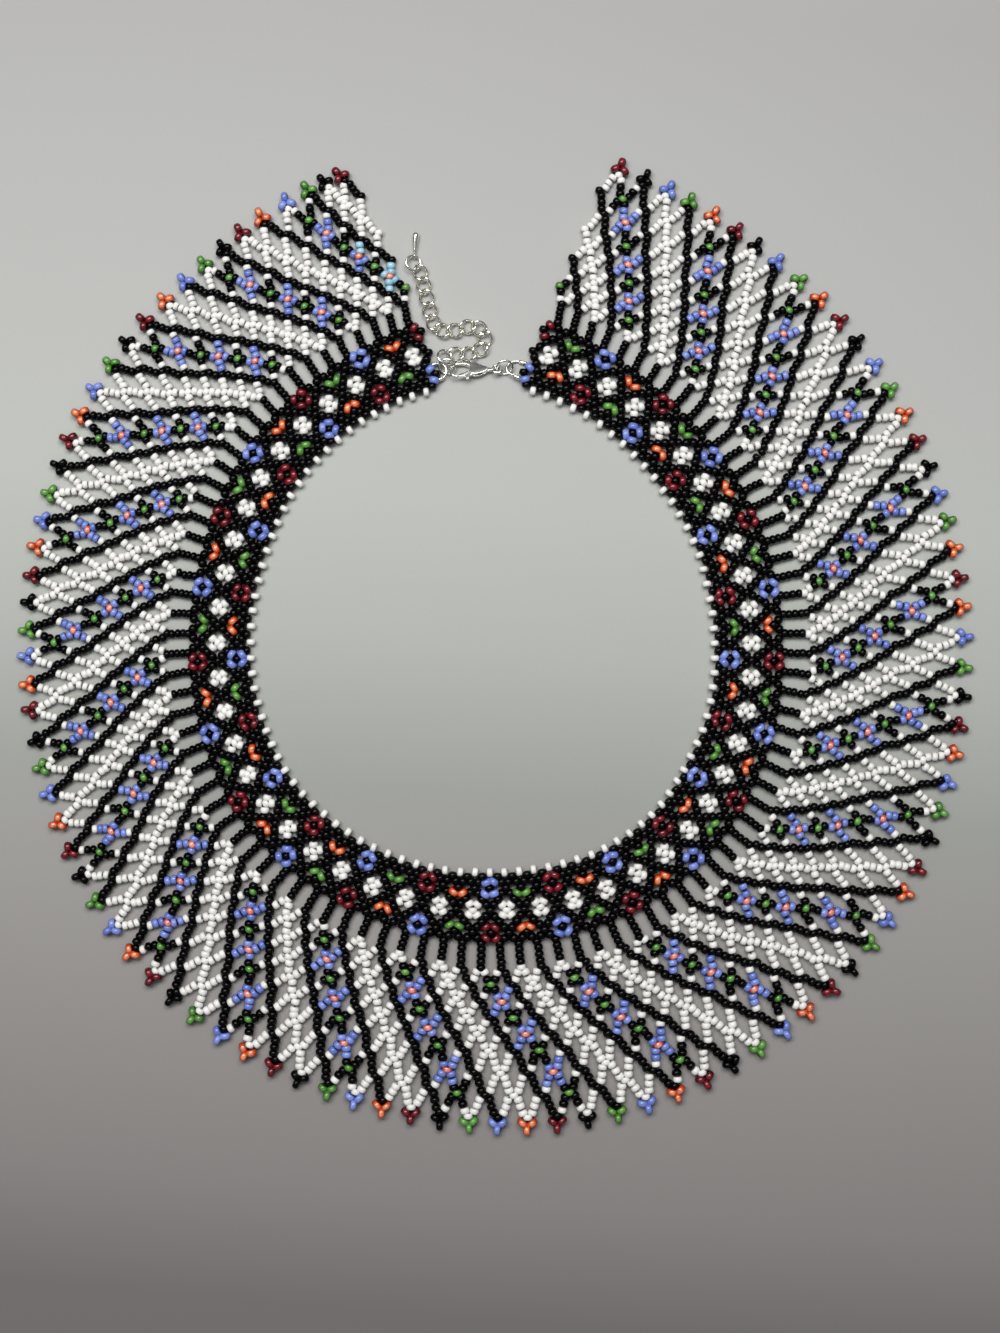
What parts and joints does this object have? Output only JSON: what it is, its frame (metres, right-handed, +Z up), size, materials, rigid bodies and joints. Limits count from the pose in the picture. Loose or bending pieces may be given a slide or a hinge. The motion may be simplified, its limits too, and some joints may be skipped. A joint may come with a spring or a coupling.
{
  "type": "beaded collar necklace",
  "caption": "Flat netted collar of round seed beads with a close-woven neck band, slanting net, small tips, and a lobster clasp with extender chain at the open nape.",
  "frame": {"origin": "centre of the outline seen from above, on the surface that the collar lies on", "axes": "+Z up from the surface, +Y from the throat towards the nape with its clasp, +X to the right as the picture shows it"},
  "size_m": [0.2672, 0.2728, 0.0037],
  "materials": {
    "band_beads": "opaque glossy black glass seed beads with flowers and leaves in white, blue, green, orange and dark red",
    "black_beads": "opaque glossy black glass seed beads",
    "white_beads": "opaque warm white glass seed beads",
    "flower_beads": "opaque blue, green, orange, black and white glass seed beads, netted as flowers and leaves",
    "clasp_metal": "bright silver plating",
    "chain_metal": "bright silver plating on curb links",
    "ring_metal": "bright silver plated round wire"
  },
  "bodies": {
    "collar": {"beaded_band": "band_beads", "black_ribs_01": "black_beads", "black_ribs_02": "black_beads", "black_ribs_03": "black_beads", "black_ribs_04": "black_beads", "black_ribs_05": "black_beads", "black_ribs_06": "black_beads", "black_ribs_07": "black_beads", "black_ribs_08": "black_beads", "black_ribs_09": "black_beads", "black_ribs_10": "black_beads", "black_ribs_11": "black_beads", "black_ribs_12": "black_beads", "white_strips_01": "white_beads", "white_strips_02": "white_beads", "white_strips_03": "white_beads", "white_strips_04": "white_beads", "white_strips_05": "white_beads", "white_strips_06": "white_beads", "white_strips_07": "white_beads", "white_strips_08": "white_beads", "white_strips_09": "white_beads", "white_strips_10": "white_beads", "white_strips_11": "white_beads", "white_strips_12": "white_beads", "flower_strips_01": "flower_beads", "flower_strips_02": "flower_beads", "flower_strips_03": "flower_beads", "flower_strips_04": "flower_beads", "flower_strips_05": "flower_beads", "flower_strips_06": "flower_beads", "flower_strips_07": "flower_beads", "flower_strips_08": "flower_beads", "flower_strips_09": "flower_beads", "flower_strips_10": "flower_beads", "flower_strips_11": "flower_beads", "flower_strips_12": "flower_beads", "wire_guard_left": "ring_metal", "wire_guard_right": "ring_metal", "jump_ring_left": "ring_metal", "jump_ring_right": "ring_metal", "chain_ring": "ring_metal", "clasp_body": "clasp_metal", "extender_chain": "chain_metal", "end_ring": "chain_metal", "end_drop": "chain_metal"},
    "gate": {"clasp_lever": "clasp_metal"}
  },
  "joints": [
    {"name": "gate_hinge", "type": "hinge", "parent": "collar", "child": "gate", "pos_m": [-0.00581, 0.07682, 0.00198], "axis": [0.0131, -0.3744, -0.9272], "range_deg": [0, 20], "stiffness_Nm_per_rad": 0.0005, "springref_deg": -11.46}
  ]
}
